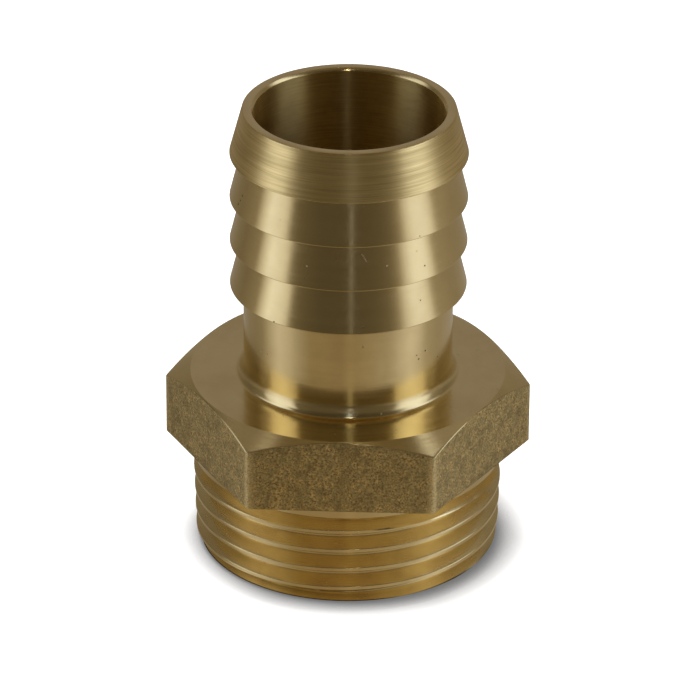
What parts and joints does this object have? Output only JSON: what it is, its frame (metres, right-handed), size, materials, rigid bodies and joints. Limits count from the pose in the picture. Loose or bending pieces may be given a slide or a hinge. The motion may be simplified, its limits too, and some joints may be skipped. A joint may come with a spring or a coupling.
{
  "type": "hose barb tail",
  "caption": "Brass hose barb tail: barbed spigot for a push-on hose, hexagon for a spanner, and a male taper pipe thread, with a straight through bore.",
  "frame": {"origin": "centre of the threaded end face, which the fitting stands on", "axes": "+Z along the bore towards the hose end; -Y faces the hexagon flat that is seen from the front, turned 2.4 degrees about +Z"},
  "size_m": [0.039, 0.0348, 0.0503],
  "materials": {
    "brass": "turned satin brass with cast hexagon flats"
  },
  "bodies": {
    "root": {"hose_tail": "brass"}
  },
  "joints": []
}
